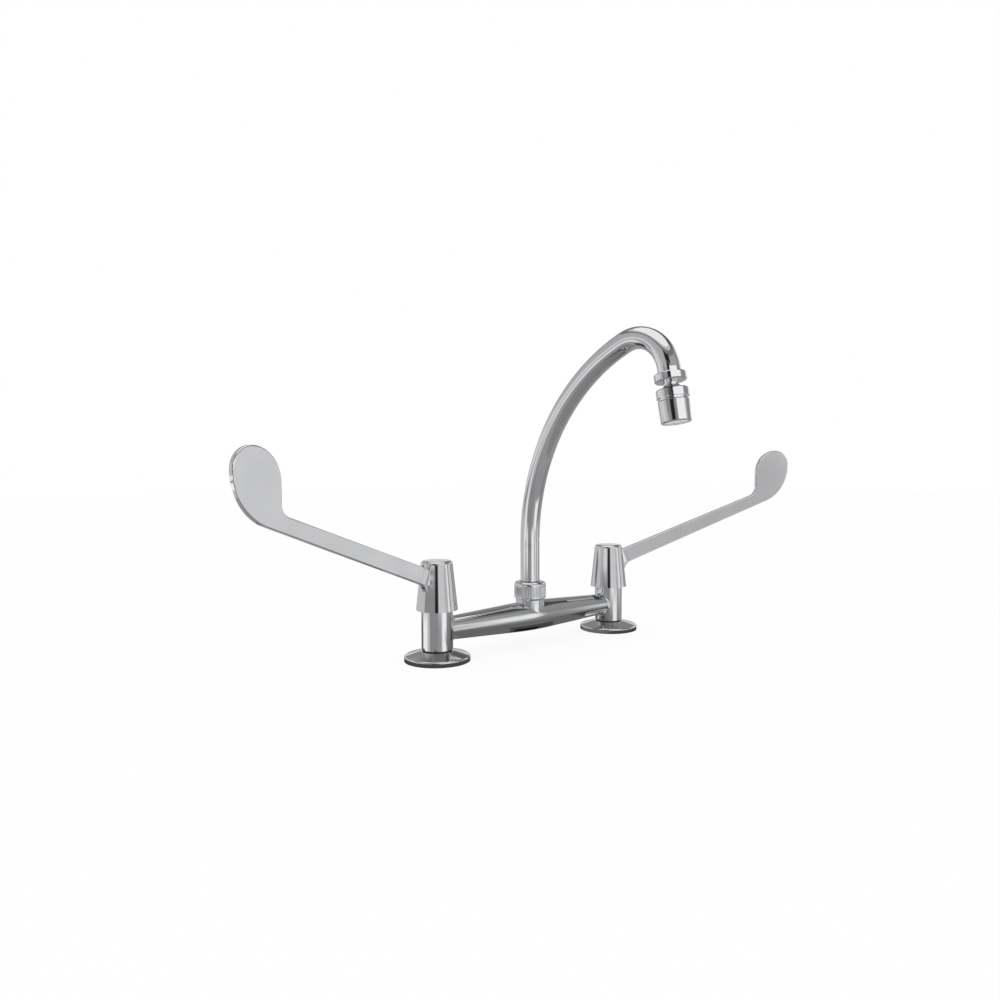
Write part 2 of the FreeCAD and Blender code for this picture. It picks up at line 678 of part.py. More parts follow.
# Lever handles: a tapered hub and a long upright plate that ends in a turned-up oval paddle
line_top = hub_top - d.blade_drop
line_low = line_top - d.blade_root
blade_start = gland_r + d.free_gap + d.web_thick / 2
paddle_inner = d.paddle_reach - d.paddle_width
heel_u = d.paddle_reach - d.paddle_heel
heel_r = d.paddle_heel / (1 - sind(d.blade_low_deg))
heel_w = line_low + tand(d.blade_low_deg) * heel_u
outer_w = heel_w + heel_r * cosd(d.blade_low_deg)
tip_u = d.paddle_reach - d.paddle_tip_r
tip_w = outer_w + d.paddle_tip_r
brow_r = tip_u - paddle_inner
nook_w = line_top + tand(d.blade_top_deg) * paddle_inner
nook_len = d.paddle_nook * tand(45 - d.blade_top_deg / 2)
flare_cu = d.root_start + d.root_round * sind(d.blade_low_deg)
flare_cw = line_low + tand(d.blade_low_deg) * d.root_start - d.root_round * cosd(d.blade_low_deg)
flare_u = flare_cu - d.root_round * cosd(d.root_deg)
flare_w = flare_cw + d.root_round * sind(d.root_deg)
cheek_foot = line_low + d.cheek_inset / cosd(d.blade_low_deg)
cheek_narrow = (tand(d.blade_low_deg) - tand(d.blade_top_deg)) * d.cheek_start
cheek_high = (d.blade_root - cheek_narrow) * cosd(d.blade_low_deg) - d.cheek_inset * 2
for side, word in ((-1, "left"), (1, "right")):
    axis_x = half_pitch * side
    lever = new_body(word + "_lever")
    cone = new_sketch(lever, word + "_hub")
    chain(cone, [
        (ZERO, hub_foot), (hub_foot_r, hub_foot), (hub_top_r, hub_top - d.hub_round, d.hub_round, 1),
        (hub_top_r - d.hub_round, hub_top), (ZERO, hub_top),
    ])
    revolve(lever, cone)
    plate = new_sketch(lever, word + "_blade")
    chain(plate, [
        (blade_start, flare_w),
        (flare_u, flare_w, d.root_round, -1),
        (d.root_start, line_low + tand(d.blade_low_deg) * d.root_start),
        (heel_u, heel_w, heel_r, 1),
        (d.paddle_reach, outer_w, d.paddle_tip_r, 1),
        (tip_u, tip_w, brow_r, 1),
        (paddle_inner, tip_w - brow_r),
        (paddle_inner, nook_w + nook_len, d.paddle_nook, -1),
        (paddle_inner - nook_len * cosd(d.blade_top_deg), nook_w - nook_len * sind(d.blade_top_deg)),
        (blade_start, line_top + tand(d.blade_top_deg) * blade_start),
    ])
    blade = extrude(lever, plate, d.blade_thick, middle=True)
    doc.recompute()
    rim = []
    half_thick = d.blade_thick.value / 2
    for number, edge in enumerate(blade.Shape.Edges, start=1):
        box = edge.BoundBox
        far = max(abs(box.XMin), abs(box.XMax))
        if box.YLength < 1e-4 and abs(abs(box.Center.y) - half_thick) < 1e-4 and far > hub_foot_r.value + 1:
            rim.append("Edge%d" % number)
    round_edges(lever, blade, rim, d.blade_round)
    cheek = new_sketch(lever, word + "_root_cheeks", "XY_Plane")
    tilt = FreeCAD.Rotation(Vec(0, 1, 0), -d.blade_low_deg.value)
    cheek.AttachmentOffset = FreeCAD.Placement(Vec(0, 0, cheek_foot.value), tilt)
    cheek.setExpression("AttachmentOffset.Base.z", cheek_foot.text)
    cheek.setExpression("AttachmentOffset.Rotation.Angle", "%s * 1 deg" % (-d.blade_low_deg).text)
    thin = d.blade_thick / 2
    wide = thin + d.cheek_r * (1 - cosd(d.cheek_deg))
    cheek_in = d.cheek_start - d.cheek_r * sind(d.cheek_deg)
    chain(cheek, [
        (blade_start, -wide), (cheek_in, -wide, d.cheek_r, -1), (d.cheek_start, -thin),
        (d.cheek_start, thin, d.cheek_r, -1), (cheek_in, wide), (blade_start, wide),
    ])
    extrude(lever, cheek, cheek_high)
    doc.recompute()
    hollow = new_sketch(lever, word + "_hollow")
    inner_r = gland_r + d.free_gap
    chain(hollow, [
        (ZERO, hub_foot), (skirt_r, hub_foot), (skirt_r, hex_top + d.hub_clear),
        (inner_r, hex_top + d.hub_clear),
        (inner_r, gland_top + d.hub_clear), (spline_r + d.screw_gap, gland_top + d.hub_clear),
        (spline_r + d.screw_gap, spindle_top), (d.screw_r + d.free_gap, spindle_top),
        (d.screw_r + d.free_gap, web_top), (d.screw_head_r + d.free_gap, web_top),
        (d.screw_head_r + d.free_gap, cap_foot), (d.cap_r + d.screw_gap, cap_foot),
        (d.cap_r + d.screw_gap, hub_top), (ZERO, hub_top),
    ])
    revolve(lever, hollow, "Groove")
    swing = 180 + d.lever_swing if side < 0 else -d.lever_swing
    set_place(lever, x=axis_x, axis=(0, 0, 1), angle=swing)
    screw = turned(word + "_lever_screw", [
        (ZERO, web_top - d.screw_len), (d.screw_r, web_top - d.screw_len), (d.screw_r, web_top),
        (d.screw_head_r, web_top), (d.screw_head_r, cap_foot), (ZERO, cap_foot),
    ])
    cap = turned(word + "_lever_cap", [
        (ZERO, cap_foot), (d.cap_r, cap_foot), (d.cap_r, hub_top), (ZERO, hub_top),
    ])
    for piece in (screw, cap):
        set_place(piece, x=axis_x)

# Spout: one bent tube, brazed into a turned tail that swivels in the neck
body = new_body("spout_tube")
path = new_sketch(body, "spout_path", "YZ_Plane")
chain(path, [
    (ZERO, tube_foot),
    (ZERO, riser_top, d.arch_r, 1),
    (-arch_y, arch_z),
    (-run_y, run_z, d.bend_r, 1),
    (-end_y, end_z),
    (-mouth_y, mouth_z),
], closed=False)
section = new_sketch(body, "spout_section", "XY_Plane", tube_foot)
ring(section, ZERO, ZERO, d.tube_r)
ring(section, ZERO, ZERO, tube_in_r)
pipe = body.newObject("PartDesign::AdditivePipe", "spout_pipe")
pipe.Profile = section
pipe.Spine = (path, ["Edge1", "Edge2", "Edge3", "Edge4", "Edge5"])

groove_floor = neck_bore_r - d.run_gap - 2 * d.ring_wire_r
tail_r = neck_bore_r - d.run_gap
grooves = []
for level in (low_ring, high_ring):
    grooves.append([
        (groove_floor, level - d.ring_wire_r - d.run_gap), (neck_r, level - d.ring_wire_r - d.run_gap),
        (neck_r, level + d.ring_wire_r + d.run_gap), (groove_floor, level + d.ring_wire_r + d.run_gap),
    ])
turned("spout_tail", [
    (tube_in_r, tail_foot), (tail_r, tail_foot), (tail_r, collar_foot), (collar_r, collar_foot),
    (collar_r, collar_top), (d.tube_r + d.screw_gap, collar_top), (d.tube_r + d.screw_gap, tube_foot),
    (tube_in_r, tube_foot),
], grooves)
body = new_body("spout_orings")
wires = new_sketch(body, "oring_sections")
wire_x = groove_floor + d.ring_wire_r
ring(wires, wire_x, low_ring, d.ring_wire_r)
ring(wires, wire_x, high_ring, d.ring_wire_r)
revolve(body, wires)
lip_r = d.tube_r + d.free_gap
turned("slip_ring", [
    (lip_r, collar_top), (collar_r, collar_top), (collar_r, slip_top), (lip_r, slip_top),
])
turned("spout_nut", [
    (neck_r + d.screw_gap, nut_foot), (nut_r - d.nut_bevel, nut_foot), (nut_r, nut_foot + d.nut_bevel),
    (nut_r, nut_top - d.nut_round, d.nut_round, 1), (nut_r - d.nut_round, nut_top),
    (lip_r + d.nut_step_wall, nut_top), (lip_r + d.nut_step_wall, nut_top - d.nut_step),
    (lip_r, nut_top - d.nut_step), (lip_r, lip_foot), (neck_r + d.screw_gap, lip_foot),
])

# Outlet: ferrule, washer, collar nut and ball stem share the spout's end axis
ferrule = turned("outlet_ferrule", [
    (ferrule_bore_r, ferrule_low), (ferrule_r, ferrule_low), (ferrule_r, ZERO),
    (tube_in_r - d.screw_gap, ZERO), (tube_in_r - d.screw_gap, d.ferrule_grip),
    (ferrule_bore_r, d.ferrule_grip),
])
gasket = turned("outlet_washer", [
    (ferrule_bore_r, joint_low), (stem_flange_r, joint_low),
    (stem_flange_r, ferrule_low), (ferrule_bore_r, ferrule_low),
])
nut_hole = d.ball_neck_r + d.run_gap
collar_nut = turned("collar_nut", [
    (nut_hole, collar_nut_low), (collar_nut_r - d.collar_nut_bevel, collar_nut_low),
    (collar_nut_r, collar_nut_low + d.collar_nut_bevel), (collar_nut_r, -d.collar_nut_bevel),
    (collar_nut_r - d.collar_nut_bevel, ZERO), (ferrule_r + d.screw_gap, ZERO),
    (ferrule_r + d.screw_gap, flange_low - d.run_gap), (nut_hole, flange_low - d.run_gap),
])
neck_meet = ball_z + root(d.ball_r * d.ball_r - d.ball_neck_r * d.ball_neck_r)
ball_foot = ball_z - root(d.ball_r * d.ball_r - d.ball_bore_r * d.ball_bore_r)
ball = turned("ball_stem", [
    (d.ball_bore_r, joint_low), (d.ball_bore_r, ball_foot, d.ball_r, 1), (d.ball_r, ball_z, d.ball_r, 1),
    (d.ball_neck_r, neck_meet), (d.ball_neck_r, flange_low),
    (stem_flange_r, flange_low), (stem_flange_r, joint_low),
])
for piece in (ferrule, gasket, collar_nut, ball):
    set_place(piece, y=-mouth_y, z=mouth_z, axis=(1, 0, 0), angle=-d.end_lean)

# Aerator: a socket ring round the ball, screwed to the housing that holds the seat ring and the insert
lip_in = root(cup_r * cup_r - d.socket_rise * d.socket_rise)
ring_foot = -d.socket_drop
spigot_foot = ring_foot - d.groove_gap - d.spigot_len
housing_top = ring_foot - d.groove_gap
housing_foot = housing_top - d.housing_len
seat_top_z = -d.seat_ring_drop
seat_in = root(cup_r * cup_r - seat_top_z * seat_top_z)
socket = turned("aerator_ring", [
    (cup_r, ZERO, cup_r, 1), (lip_in, d.socket_rise), (socket_r - d.collar_nut_bevel, d.socket_rise),
    (socket_r, d.socket_rise - d.collar_nut_bevel), (socket_r, ring_foot),
    (socket_r - d.groove_depth, ring_foot), (socket_r - d.groove_depth, housing_top),
    (spigot_r, housing_top), (spigot_r, spigot_foot), (cup_r, spigot_foot),
])
seat_low = seat_top_z - d.seat_ring_thick
seat_in_low = root(cup_r * cup_r - seat_low * seat_low)
seat_ring = turned("ball_seat", [
    (seat_in, seat_top_z, cup_r, -1), (seat_in_low, seat_low), (seat_in_low, spigot_foot),
    (cup_r - d.screw_gap, spigot_foot), (cup_r - d.screw_gap, seat_top_z),
])
shelf_r = cup_r - d.housing_wall
insert_low = housing_foot + d.insert_recess
insert_top = insert_low + d.insert_len
insert_r = spigot_r - d.screw_gap
housing = turned("aerator_housing", [
    (spigot_r, housing_foot), (mouth_r - d.housing_bevel, housing_foot),
    (mouth_r, housing_foot + d.housing_bevel),
    (housing_r, housing_top - d.collar_nut_bevel), (housing_r - d.collar_nut_bevel, housing_top),
    (spigot_r + d.screw_gap, housing_top), (spigot_r + d.screw_gap, spigot_foot), (shelf_r, spigot_foot),
    (shelf_r, insert_top), (spigot_r, insert_top),
])
insert = new_body("aerator_insert")
face = new_sketch(insert, "insert_plan", "XY_Plane", insert_low)
ring(face, ZERO, ZERO, insert_r)
ring(face, ZERO, ZERO, d.insert_hole_r)
for step in range(JETS):
    angle = lift(360 * step / JETS)
    ring(face, d.insert_ring_r * cosd(angle), d.insert_ring_r * sind(angle), d.insert_hole_r)
extrude(insert, face, d.insert_len)
for piece in (socket, seat_ring, housing, insert):
    set_place(piece, y=-ball_y_world, z=ball_z_world, axis=(1, 0, 0), angle=-d.aerator_lean)

# Check everything, then write one file for each piece
doc.recompute()
faults = []
for thing in doc.Objects:
    if "Invalid" in thing.State or "Error" in thing.State:
        faults.append("%s %s" % (thing.Name, thing.State))
for body in built:
    if body.Shape.isNull() or not body.Shape.isValid() or not body.Shape.Solids:
        faults.append("%s has no valid shape" % body.Label)
if faults:
    raise RuntimeError("; ".join(faults))
for body in built:
    body.Shape.exportStep("parts/%s.step" % body.Label)
    size = body.Shape.BoundBox
    print("%-22s solids %d volume %10.1f box %.1f x %.1f x %.1f" % (
        body.Label, len(body.Shape.Solids), body.Shape.Volume, size.XLength, size.YLength, size.ZLength))
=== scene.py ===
"""Looks, light and camera of a deck-mounted bridge mixer tap with long elbow levers.

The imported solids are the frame. This script replaces the knurled nut, the threaded shanks and the locknuts,
gives every solid its finish, and sets up the deck, the studio cards and the camera. Lengths are metres.
"""
import logging
import math
from collections.abc import Callable, Sequence
from dataclasses import dataclass
from enum import Enum

import bmesh
import bpy
from mathutils import Matrix, Vector


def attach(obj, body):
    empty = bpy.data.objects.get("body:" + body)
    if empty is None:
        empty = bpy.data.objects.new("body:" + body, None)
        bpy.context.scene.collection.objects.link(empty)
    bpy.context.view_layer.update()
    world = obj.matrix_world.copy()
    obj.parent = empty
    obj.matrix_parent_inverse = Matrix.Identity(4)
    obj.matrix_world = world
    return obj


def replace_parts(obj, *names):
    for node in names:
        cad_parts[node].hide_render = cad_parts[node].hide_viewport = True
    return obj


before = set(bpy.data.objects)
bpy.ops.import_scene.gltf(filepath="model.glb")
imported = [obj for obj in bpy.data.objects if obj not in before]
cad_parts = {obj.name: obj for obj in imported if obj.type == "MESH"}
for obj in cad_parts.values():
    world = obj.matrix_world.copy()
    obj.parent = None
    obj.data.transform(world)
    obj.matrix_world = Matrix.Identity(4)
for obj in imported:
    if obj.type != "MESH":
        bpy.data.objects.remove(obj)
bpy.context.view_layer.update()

LOG = logging.getLogger("mixer")
POST_PITCH = 0.200

Colour = tuple[float, float, float]
Point = tuple[float, float, float]
Outline = list[tuple[float, float]]
Relief = Callable[[float, float, float], float]


class Side(Enum):
    """The hot and cold halves of the tap."""

    LEFT = "left"
    RIGHT = "right"

    @property
    def sign(self) -> int:
        """Direction of this half along X."""
        return -1 if self is Side.LEFT else 1


class Grain(Enum):
    """How the fine marks of a finish run."""

    EVEN = "even"
    TURNED = "turned"
    DRAWN = "drawn"


# Parts of the noise's range over which tones and gloss change, octaves, and stretch across the grain
TONE_SPAN = (0.35, 0.65)
GLOSS_SPAN = (0.3, 0.7)
PATCH_DETAIL = 3.0
MARK_DETAIL = 2.0
TURNED_STRETCH = 0.02
DRAWN_STRETCH = 8.0


@dataclass(frozen=True)
class Finish:
    """One surface finish, made as a node material.

    Two close tones and two roughness values follow soft patches, and fine marks lift the surface.
    """

    slot: str
    tone: Colour
    second: Colour
    metallic: float
    smooth: float
    rough: float
    patch: float
    mark: float
    lift: float
    grain: Grain = Grain.EVEN

    def material(self) -> bpy.types.Material:
        """Make the material, or return the one made before.

        Returns:
            The node material of this finish.
        """
        name = f"{self.slot}_finish"
        known = bpy.data.materials.get(name)
        if known is not None:
            return known
        mat = bpy.data.materials.new(name)
        mat.use_nodes = True
        tree = mat.node_tree
        shader = tree.nodes["Principled BSDF"]
        shader.inputs["Metallic"].default_value = self.metallic
        place = tree.nodes.new("ShaderNodeTexCoord").outputs["Object"]
        patches = self._noise(tree, place, 1.0 / self.patch, PATCH_DETAIL)
        self._tones(tree, shader, patches)
        self._gloss(tree, shader, patches)
        self._marks(tree, shader, place)
        return mat

    def _noise(self, tree: bpy.types.NodeTree, place: bpy.types.NodeSocket, scale: float,
               detail: float) -> bpy.types.NodeSocket:
        """Add a noise texture.

        Args:
            tree: Node tree of the material.
            place: Socket with the coordinates.
            scale: Noise cells per metre.
            detail: Number of finer octaves.

        Returns:
            The socket with the noise value.
        """
        noise = tree.nodes.new("ShaderNodeTexNoise")
        noise.inputs["Scale"].default_value = scale
        noise.inputs["Detail"].default_value = detail
        tree.links.new(place, noise.inputs["Vector"])
        return noise.outputs["Fac"]

    def _tones(self, tree: bpy.types.NodeTree, shader: bpy.types.Node,
               patches: bpy.types.NodeSocket) -> None:
        """Mix the two tones over the patches.

        Args:
            tree: Node tree of the material.
            shader: The surface shader.
            patches: Socket with the patch noise.
        """
        ramp = tree.nodes.new("ShaderNodeValToRGB")
        ramp.color_ramp.elements[0].position = TONE_SPAN[0]
        ramp.color_ramp.elements[0].color = (*self.tone, 1.0)
        ramp.color_ramp.elements[1].position = TONE_SPAN[1]
        ramp.color_ramp.elements[1].color = (*self.second, 1.0)
        tree.links.new(patches, ramp.inputs["Fac"])
        tree.links.new(ramp.outputs["Color"], shader.inputs["Base Color"])

    def _gloss(self, tree: bpy.types.NodeTree, shader: bpy.types.Node,
               patches: bpy.types.NodeSocket) -> None:
        """Vary the roughness over the patches.

        Args:
            tree: Node tree of the material.
            shader: The surface shader.
            patches: Socket with the patch noise.
        """
        span = tree.nodes.new("ShaderNodeMapRange")
        span.inputs["From Min"].default_value = GLOSS_SPAN[0]
        span.inputs["From Max"].default_value = GLOSS_SPAN[1]
        span.inputs["To Min"].default_value = self.smooth
        span.inputs["To Max"].default_value = self.rough
        tree.links.new(patches, span.inputs["Value"])
        tree.links.new(span.outputs["Result"], shader.inputs["Roughness"])

    def _marks(self, tree: bpy.types.NodeTree, shader: bpy.types.Node, place: bpy.types.NodeSocket) -> None:
        """Lift the surface by the fine marks that the grain asks for.

        Args:
            tree: Node tree of the material.
            shader: The surface shader.
            place: Socket with the coordinates.
        """
        if self.grain is not Grain.EVEN:
            stretch = tree.nodes.new("ShaderNodeMapping")
            along = TURNED_STRETCH if self.grain is Grain.TURNED else DRAWN_STRETCH
            stretch.inputs["Scale"].default_value = (along, along, 1.0)
            tree.links.new(place, stretch.inputs["Vector"])
            place = stretch.outputs["Vector"]
        marks = self._noise(tree, place, 1.0 / self.mark, MARK_DETAIL)
        bump = tree.nodes.new("ShaderNodeBump")
        bump.inputs["Strength"].default_value = 1.0
        bump.inputs["Distance"].default_value = self.lift
        tree.links.new(marks, bump.inputs["Height"])
        tree.links.new(bump.outputs["Normal"], shader.inputs["Normal"])


CHROME = Finish("chrome", tone=(0.78, 0.785, 0.80), second=(0.74, 0.745, 0.76), metallic=1.0,
                smooth=0.045, rough=0.085, patch=0.030, mark=0.006, lift=2.0e-6)
BRASS = Finish("brass", tone=(0.72, 0.56, 0.30), second=(0.62, 0.47, 0.24), metallic=1.0,
               smooth=0.22, rough=0.38, patch=0.008, mark=0.0006, lift=1.5e-5, grain=Grain.TURNED)
STEEL = Finish("steel", tone=(0.62, 0.62, 0.62), second=(0.54, 0.54, 0.55), metallic=1.0,
               smooth=0.24, rough=0.36, patch=0.010, mark=0.0005, lift=1.2e-5, grain=Grain.DRAWN)
RUBBER = Finish("rubber", tone=(0.03, 0.03, 0.03), second=(0.045, 0.044, 0.042), metallic=0.0,
                smooth=0.62, rough=0.80, patch=0.006, mark=0.0004, lift=3.0e-5)
CERAMIC = Finish("ceramic", tone=(0.90, 0.89, 0.86), second=(0.85, 0.84, 0.81), metallic=0.0,
                 smooth=0.18, rough=0.30, patch=0.004, mark=0.0003, lift=4.0e-6)
PLASTIC = Finish("plastic", tone=(0.78, 0.79, 0.80), second=(0.72, 0.73, 0.74), metallic=0.0,
                 smooth=0.34, rough=0.48, patch=0.005, mark=0.0004, lift=1.2e-5)


def put(obj: bpy.types.Object, finish: Finish) -> None:
    """Give an object one finish all over.

    Args:
        obj: The mesh object.
        finish: The finish to put on it.
    """
    obj.data.materials.clear()
    obj.data.materials.append(finish.material())


def mesh_object(name: str, verts: Sequence[Point], faces: Sequence[Sequence[int]],
                crease: float) -> bpy.types.Object:
    """Make a shaded mesh object with its faces turned outwards.

    Args:
        name: Name of the object.
        verts: Corner points.
        faces: Corner numbers of each face.
        crease: Angle in degrees above which an edge stays sharp.

    Returns:
        The new object, in the scene.
    """
    mesh = bpy.data.meshes.new(name)
    mesh.from_pydata(verts, [], faces)
    shell = bmesh.new()
    shell.from_mesh(mesh)
    bmesh.ops.recalc_face_normals(shell, faces=shell.faces)
    shell.to_mesh(mesh)
    shell.free()
    mesh.shade_smooth()
    mesh.set_sharp_from_angle(angle=math.radians(crease))
    obj = bpy.data.objects.new(name, mesh)
    bpy.context.scene.collection.objects.link(obj)
    return obj


def turned(name: str, outline: Outline, steps: int, centre: float = 0.0, relief: Relief | None = None,
           crease: float = 25.0) -> bpy.types.Object:
    """Turn a closed outline about an upright axis.

    Args:
        name: Name of the object.
        outline: Radius and height of each point of the closed outline.
        steps: Number of steps round the axis.
        centre: Place of the axis along X.
        relief: Gives the radius to use from the radius, height and angle.
        crease: Angle in degrees above which an edge stays sharp.

    Returns:
        The new object.
    """
    verts: list[Point] = []
    for step in range(steps):
        angle = math.tau * step / steps
        for radius, height in outline:
            r = relief(radius, height, angle) if relief else radius
            verts.append((centre + r * math.cos(angle), r * math.sin(angle), height))
    count = len(outline)
    faces: list[tuple[int, int, int, int]] = []
    for step in range(steps):
        here = step * count
        there = (step + 1) % steps * count
        for i in range(count):
            j = (i + 1) % count
            faces.append((here + i, there + i, there + j, here + j))
    return mesh_object(name, verts, faces, crease)


def corner_arc(centre: tuple[float, float], radius: float, start: float, end: float, steps: int) -> Outline:
    """Points of an arc in an outline.

    Args:
        centre: Radius and height of the arc's centre.
        radius: Radius of the arc.
        start: First angle in degrees.
        end: Last angle in degrees.
        steps: Number of steps along the arc.

    Returns:
        The points from first to last.
    """
    angles = [math.radians(start + (end - start) * i / steps) for i in range(steps + 1)]
    return [(centre[0] + radius * math.cos(a), centre[1] + radius * math.sin(a)) for a in angles]


def rise(radius: float, low: float, high: float, step: float) -> Outline:
    """Points of an upright line in an outline.

    Args:
        radius: Radius of the line.
        low: First height.
        high: Last height.
        step: Largest distance between points.

    Returns:
        The points from first to last.
    """
    count = max(1, math.ceil(abs(high - low) / step))
    return [(radius, low + (high - low) * i / count) for i in range(count + 1)]


@dataclass(frozen=True)
class Thread:
    """A right-hand screw thread cut into an upright surface."""

    major: float
    pitch: float
    depth: float
    low: float
    high: float
    flank_slope: float = 1.5
    crest: float = 0.25

    def radius(self, height: float, angle: float) -> float:
        """Radius of the thread's skin.

        Args:
            height: Height on the axis.
            angle: Angle round the axis.

        Returns:
            The radius there.
        """
        phase = (height / self.pitch - angle / math.tau) % 1.0
        flank = min(1.0, max(0.0, abs(2.0 * phase - 1.0) * self.flank_slope - self.crest))
        run = min(height - self.low, self.high - height) / self.pitch
        return self.major - self.depth * flank * min(1.0, max(0.0, run))


@dataclass
class DeckFixing:
    """What holds one half of the tap to the deck: flange, gasket, threaded shank and locknut."""

    side: Side
    shank: Thread = Thread(0.01048, 0.001814, 0.00105, -0.050, 0.0169)
    hose: Thread = Thread(0.00833, 0.001337, 0.00080, -0.062, -0.050)
    bore: float = 0.0060
    edge: float = 0.0008
    nut_low: float = -0.042
    nut_high: float = -0.034
    nut_flats: float = 0.030
    nut_chamfer: float = 0.0016
    nut_play: float = 0.00003
    cone_share: float = 0.985
    cone_slope: float = 1.6
    shank_steps: int = 44
    rows_per_turn: int = 7
    nut_steps: int = 96
    chamfer_rows: int = 6

    @property
    def centre(self) -> float:
        """Place of this half along X."""
        return self.side.sign * POST_PITCH / 2

    def build(self) -> list[bpy.types.Object]:
        """Make the threaded shank and the locknut.

        Returns:
            The new pieces.
        """
        return [self._shank(), self._locknut()]

    def dress(self) -> None:
        """Give the solids of this half their finishes."""
        for piece, finish in (("flange", CHROME), ("deck_gasket", RUBBER), ("post_seal", RUBBER)):
            put(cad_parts[f"{self.side.value}_{piece}"], finish)

    def _shank(self) -> bpy.types.Object:
        """Make the shank with its two threads.

        Returns:
            The shank, which replaces its plain solid.
        """
        low, step, top = self.hose.low, self.shank.low, self.shank.high
        outline = [(self.bore, low), (self.hose.major - self.edge, low)]
        outline += rise(self.hose.major, low + self.edge, step, self.hose.pitch / self.rows_per_turn)
        outline += [(self.shank.major - self.edge, step)]
        outline += rise(self.shank.major, step + self.edge, top, self.shank.pitch / self.rows_per_turn)
        outline += [(self.bore, top)]

        def skin(radius: float, height: float, angle: float) -> float:
            """Radius of the skin, with the thread that is cut there."""
            for thread in (self.hose, self.shank):
                if radius == thread.major:
                    return thread.radius(height, angle)
            return radius

        name = f"{self.side.value}_threaded_shank"
        obj = turned(name, outline, self.shank_steps, self.centre, skin, crease=60.0)
        put(obj, BRASS)
        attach(obj, "mixer")
        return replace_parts(obj, f"{self.side.value}_tail_shank")

    def _locknut(self) -> bpy.types.Object:
        """Make the chamfered locknut.

        Returns:
            The nut; both nuts together replace their plain solids.
        """
        low, high = self.nut_low, self.nut_high
        count = self.chamfer_rows
        rows = [low + self.nut_chamfer * i / count for i in range(count + 1)]
        rows += [(low + high) / 2]
        rows += [high - self.nut_chamfer * (count - i) / count for i in range(count + 1)]
        inner = self.shank.major + self.nut_play
        outline = [(inner, low)] + [(self.nut_flats, z) for z in rows] + [(inner, high)]

        def skin(radius: float, height: float, angle: float) -> float:
            """Radius of the hexagon, cut by the chamfers."""
            if radius == inner:
                return radius
            turn = (angle + math.pi / 6) % (math.pi / 3) - math.pi / 6
            flat = self.nut_flats / 2 / math.cos(turn)
            depth = min(height - low, high - height)
            return min(flat, self.nut_flats / 2 * self.cone_share + depth * self.cone_slope)

        name = f"{self.side.value}_locknut"
        obj = turned(name, outline, self.nut_steps, self.centre, skin, crease=20.0)
        put(obj, BRASS)
        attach(obj, "mixer")
        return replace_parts(obj, "locknuts")


@dataclass
class SpoutFoot:
    """The knurled nut that holds the spout in its neck, and what it clamps."""

    foot: float = 0.0400
    top: float = 0.0561
    outer: float = 0.0141
    bore: float = 0.01203
    bevel: float = 0.0016
    shoulder: float = 0.0030
    lip: float = 0.0089
    lip_foot: float = 0.0531
    ring: float = 0.0013
    sink: float = 0.0007
    band_low: float = 0.0428
    band_high: float = 0.0520
    grooves: int = 56
    groove_depth: float = 0.00032
    groove_share: float = 0.34
    groove_steps: int = 8
    band_edge: float = 0.0003
    plain_row: float = 0.0006
    band_row: float = 0.0012
    shoulder_steps: int = 10

    def build(self) -> list[bpy.types.Object]:
        """Make the knurled nut.

        Returns:
            The new pieces.
        """
        arc_centre = (self.outer - self.shoulder, self.top - self.shoulder)
        arc = corner_arc(arc_centre, self.shoulder, 0, 90, self.shoulder_steps)
        ring_r = self.lip + self.ring
        outline = [(self.bore, self.foot), (self.outer - self.bevel, self.foot)]
        outline += rise(self.outer, self.foot + self.bevel, self.band_low, self.plain_row)
        band = (self.band_low + self.band_edge, self.band_high - self.band_edge)
        outline += rise(self.outer, *band, self.band_row)
        outline += rise(self.outer, self.band_high, self.top - self.shoulder, self.plain_row)[:-1]
        outline += arc
        outline += [(ring_r, self.top), (ring_r, self.top - self.sink), (self.lip, self.top - self.sink)]
        outline += [(self.lip, self.lip_foot), (self.bore, self.lip_foot)]
        steps = self.grooves * self.groove_steps
        obj = turned("knurled_nut", outline, steps, relief=self._skin, crease=35.0)
        put(obj, CHROME)
        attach(obj, "mixer")
        return [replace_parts(obj, "spout_nut")]

    def dress(self) -> None:
        """Give the body, the spout, what the nut clamps and the washers under the deck their finishes."""
        for node, finish in (("bridge_body", CHROME), ("spout_tail", BRASS), ("spout_orings", RUBBER),
                             ("slip_ring", PLASTIC), ("spout_tube", CHROME), ("rubber_washers", RUBBER),
                             ("steel_washers", STEEL)):
            put(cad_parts[node], finish)

    def _skin(self, radius: float, height: float, angle: float) -> float:
        """Radius of the nut's skin, with the upright grooves of the knurl."""
        if radius != self.outer or not self.band_low < height < self.band_high:
            return radius
        across = abs((angle * self.grooves / math.tau) % 1.0 - 0.5) * 2.0
        return radius - self.groove_depth * max(0.0, 1.0 - across / self.groove_share)


@dataclass
class LeverHandle:
    """One elbow lever with the quarter-turn valve that it works."""

    side: Side

    def dress(self) -> None:
        """Give the lever and its valve their finishes."""
        word = self.side.value
        for piece, finish in (("lever", CHROME), ("lever_cap", CHROME), ("lever_screw", STEEL),
                              ("spindle", BRASS), ("headwork", BRASS), ("moving_disc", CERAMIC),
                              ("fixed_disc", CERAMIC), ("seat_seal", RUBBER)):
            put(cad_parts[f"{word}_{piece}"], finish)


@dataclass
class Outlet:
    """The ball-jointed aerator at the end of the spout."""

    def dress(self) -> None:
        """Give the outlet's solids their finishes."""
        for node, finish in (("outlet_ferrule", CHROME), ("outlet_washer", RUBBER), ("collar_nut", CHROME),
                             ("ball_stem", CHROME), ("aerator_ring", CHROME), ("ball_seat", PLASTIC),
                             ("aerator_housing", CHROME), ("aerator_insert", PLASTIC)):
            put(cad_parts[node], finish)


